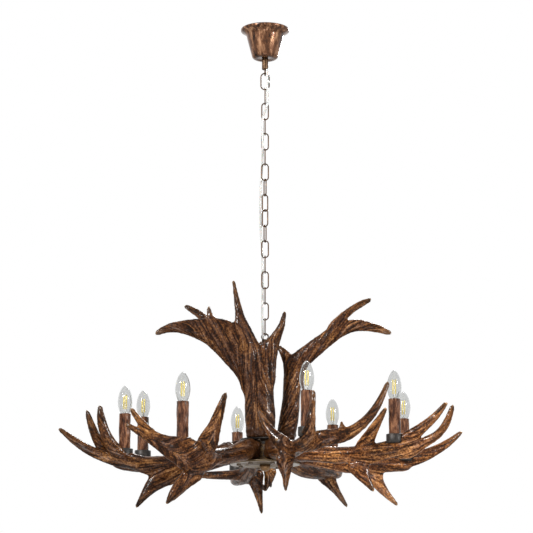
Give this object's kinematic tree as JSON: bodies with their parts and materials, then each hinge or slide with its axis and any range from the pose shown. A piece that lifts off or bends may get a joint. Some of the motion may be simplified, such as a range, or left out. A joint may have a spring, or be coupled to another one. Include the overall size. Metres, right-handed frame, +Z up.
{
  "type": "antler chandelier",
  "caption": "Ceiling chandelier of branching antlers in two tiers, hung on an oval-link chain from a flared canopy, with candle-shaped lamp holders and bulbs.",
  "frame": {"origin": "centre of the ceiling plate's top face, where it meets the ceiling", "axes": "+Z up along the chain, +X to the right of someone facing the front, +Y away from them"},
  "size_m": [0.9899, 0.8262, 1.2329],
  "materials": {
    "canopy_paint": "gloss, streaked copper brown",
    "zinc_steel": "satin",
    "bronze_paint": "antique bronze",
    "black_paint": "satin black",
    "disc_paint": "satin beige brass",
    "antler_resin": "gloss lacquer, walnut brown",
    "hub_resin": "mottled gold brown",
    "sleeve_resin": "gloss bark brown",
    "black_plastic": "matte",
    "cord_jacket": "clear, whitish",
    "bulb_glass": "clear"
  },
  "bodies": {
    "ceiling": {"ceiling_plate": "zinc_steel", "canopy": "canopy_paint", "canopy_nipple": "zinc_steel", "plate_nut": "zinc_steel", "terminal_block": "black_plastic", "canopy_loop": "bronze_paint"},
    "link_01": {"chain_link_01": "bronze_paint"},
    "link_02": {"chain_link_02": "bronze_paint", "power_cord_1": "cord_jacket"},
    "link_03": {"chain_link_03": "bronze_paint"},
    "link_04": {"chain_link_04": "bronze_paint"},
    "link_05": {"chain_link_05": "bronze_paint"},
    "link_06": {"chain_link_06": "bronze_paint", "power_cord_2": "cord_jacket"},
    "link_07": {"chain_link_07": "bronze_paint"},
    "link_08": {"chain_link_08": "bronze_paint"},
    "link_09": {"chain_link_09": "bronze_paint", "power_cord_3": "cord_jacket"},
    "link_10": {"chain_link_10": "bronze_paint"},
    "link_11": {"chain_link_11": "bronze_paint"},
    "link_12": {"chain_link_12": "bronze_paint"},
    "link_13": {"chain_link_13": "bronze_paint", "power_cord_4": "cord_jacket"},
    "link_14": {"chain_link_14": "bronze_paint"},
    "link_15": {"chain_link_15": "bronze_paint"},
    "link_16": {"chain_link_16": "bronze_paint", "power_cord_5": "cord_jacket"},
    "link_17": {"chain_link_17": "bronze_paint"},
    "light": {"hub_loop": "bronze_paint", "hub_rod": "bronze_paint", "hub_body": "hub_resin", "hub_top_plate": "black_paint", "hub_disc": "disc_paint", "hub_cap": "disc_paint", "antler_bolts": "zinc_steel", "candle_cups": "black_paint", "candle_sleeves": "sleeve_resin", "lamp_holders": "black_plastic", "candle_nipples": "zinc_steel", "lower_antler_1": "antler_resin", "lower_antler_2": "antler_resin", "lower_antler_3": "antler_resin", "lower_antler_4": "antler_resin", "lower_antler_5": "antler_resin", "lower_antler_6": "antler_resin", "lower_antler_7": "antler_resin", "lower_antler_8": "antler_resin", "upper_antler_1": "antler_resin", "upper_antler_2": "antler_resin", "upper_antler_3": "antler_resin"},
    "bulb_body_1": {"bulb_1": "bulb_glass"},
    "bulb_body_2": {"bulb_2": "bulb_glass"},
    "bulb_body_3": {"bulb_3": "bulb_glass"},
    "bulb_body_4": {"bulb_4": "bulb_glass"},
    "bulb_body_5": {"bulb_5": "bulb_glass"},
    "bulb_body_6": {"bulb_6": "bulb_glass"},
    "bulb_body_7": {"bulb_7": "bulb_glass"},
    "bulb_body_8": {"bulb_8": "bulb_glass"}
  },
  "joints": [
    {"name": "link_01_swing", "type": "hinge", "parent": "ceiling", "child": "link_01", "pos_m": [0, 0, -0.1195], "axis": [0, 1, 0], "range_deg": [-3, 3]},
    {"name": "link_02_swing", "type": "hinge", "parent": "link_01", "child": "link_02", "pos_m": [0, 0, -0.1584], "axis": [1, 0, 0], "range_deg": [-3, 3], "deforming": ["power_cord_1"]},
    {"name": "link_03_swing", "type": "hinge", "parent": "link_02", "child": "link_03", "pos_m": [0, 0, -0.1977], "axis": [0, 1, 0], "range_deg": [-3, 3]},
    {"name": "link_04_swing", "type": "hinge", "parent": "link_03", "child": "link_04", "pos_m": [0, 0, -0.237], "axis": [-1, 0, 0], "range_deg": [-3, 3]},
    {"name": "link_05_swing", "type": "hinge", "parent": "link_04", "child": "link_05", "pos_m": [0, 0, -0.2763], "axis": [0, -1, 0], "range_deg": [-3, 3]},
    {"name": "chain_twist", "type": "hinge", "parent": "link_05", "child": "link_06", "pos_m": [0, 0, -0.3156], "axis": [0, 0, 1], "range_deg": [-30, 30], "deforming": ["power_cord_2"]},
    {"name": "link_07_swing", "type": "hinge", "parent": "link_06", "child": "link_07", "pos_m": [0, 0, -0.3549], "axis": [0, 1, 0], "range_deg": [-3, 3]},
    {"name": "link_08_swing", "type": "hinge", "parent": "link_07", "child": "link_08", "pos_m": [0, 0, -0.3942], "axis": [-1, 0, 0], "range_deg": [-3, 3]},
    {"name": "link_09_swing", "type": "hinge", "parent": "link_08", "child": "link_09", "pos_m": [0, 0, -0.4335], "axis": [0.309, -0.9511, 0], "range_deg": [-3, 3], "deforming": ["power_cord_3"]},
    {"name": "link_10_swing", "type": "hinge", "parent": "link_09", "child": "link_10", "pos_m": [0, 0, -0.4728], "axis": [0.809, 0.5878, 0], "range_deg": [-3, 3]},
    {"name": "link_11_swing", "type": "hinge", "parent": "link_10", "child": "link_11", "pos_m": [0, 0, -0.5121], "axis": [-0.809, 0.5878, 0], "range_deg": [-3, 3]},
    {"name": "link_12_swing", "type": "hinge", "parent": "link_11", "child": "link_12", "pos_m": [0, 0, -0.5514], "axis": [-0.309, -0.9511, 0], "range_deg": [-3, 3]},
    {"name": "link_13_swing", "type": "hinge", "parent": "link_12", "child": "link_13", "pos_m": [0, 0, -0.5907], "axis": [1, 0, 0], "range_deg": [-3, 3], "deforming": ["power_cord_4"]},
    {"name": "link_14_swing", "type": "hinge", "parent": "link_13", "child": "link_14", "pos_m": [0, 0, -0.63], "axis": [0, 1, 0], "range_deg": [-3, 3]},
    {"name": "link_15_swing", "type": "hinge", "parent": "link_14", "child": "link_15", "pos_m": [0, 0, -0.6693], "axis": [-1, 0, 0], "range_deg": [-3, 3]},
    {"name": "link_16_swing", "type": "hinge", "parent": "link_15", "child": "link_16", "pos_m": [0, 0, -0.7086], "axis": [0, -1, 0], "range_deg": [-3, 3], "deforming": ["power_cord_5"]},
    {"name": "link_17_swing", "type": "hinge", "parent": "link_16", "child": "link_17", "pos_m": [0, 0, -0.7479], "axis": [1, 0, 0], "range_deg": [-3, 3]},
    {"name": "light_swing", "type": "hinge", "parent": "link_17", "child": "light", "pos_m": [0, 0, -0.7872], "axis": [0, 1, 0], "range_deg": [-8, 8]},
    {"name": "bulb_1_out", "type": "slide", "parent": "light", "child": "bulb_body_1", "axis": [0, 0, 1], "range_m": [0, 0.025]},
    {"name": "bulb_2_out", "type": "slide", "parent": "light", "child": "bulb_body_2", "axis": [0, 0, 1], "range_m": [0, 0.025]},
    {"name": "bulb_3_out", "type": "slide", "parent": "light", "child": "bulb_body_3", "axis": [0, 0, 1], "range_m": [0, 0.025]},
    {"name": "bulb_4_out", "type": "slide", "parent": "light", "child": "bulb_body_4", "axis": [0, 0, 1], "range_m": [0, 0.025]},
    {"name": "bulb_5_out", "type": "slide", "parent": "light", "child": "bulb_body_5", "axis": [0, 0, 1], "range_m": [0, 0.025]},
    {"name": "bulb_6_out", "type": "slide", "parent": "light", "child": "bulb_body_6", "axis": [0, 0, 1], "range_m": [0, 0.025]},
    {"name": "bulb_7_out", "type": "slide", "parent": "light", "child": "bulb_body_7", "axis": [0, 0, 1], "range_m": [0, 0.025]},
    {"name": "bulb_8_out", "type": "slide", "parent": "light", "child": "bulb_body_8", "axis": [0, 0, 1], "range_m": [0, 0.025]}
  ]
}
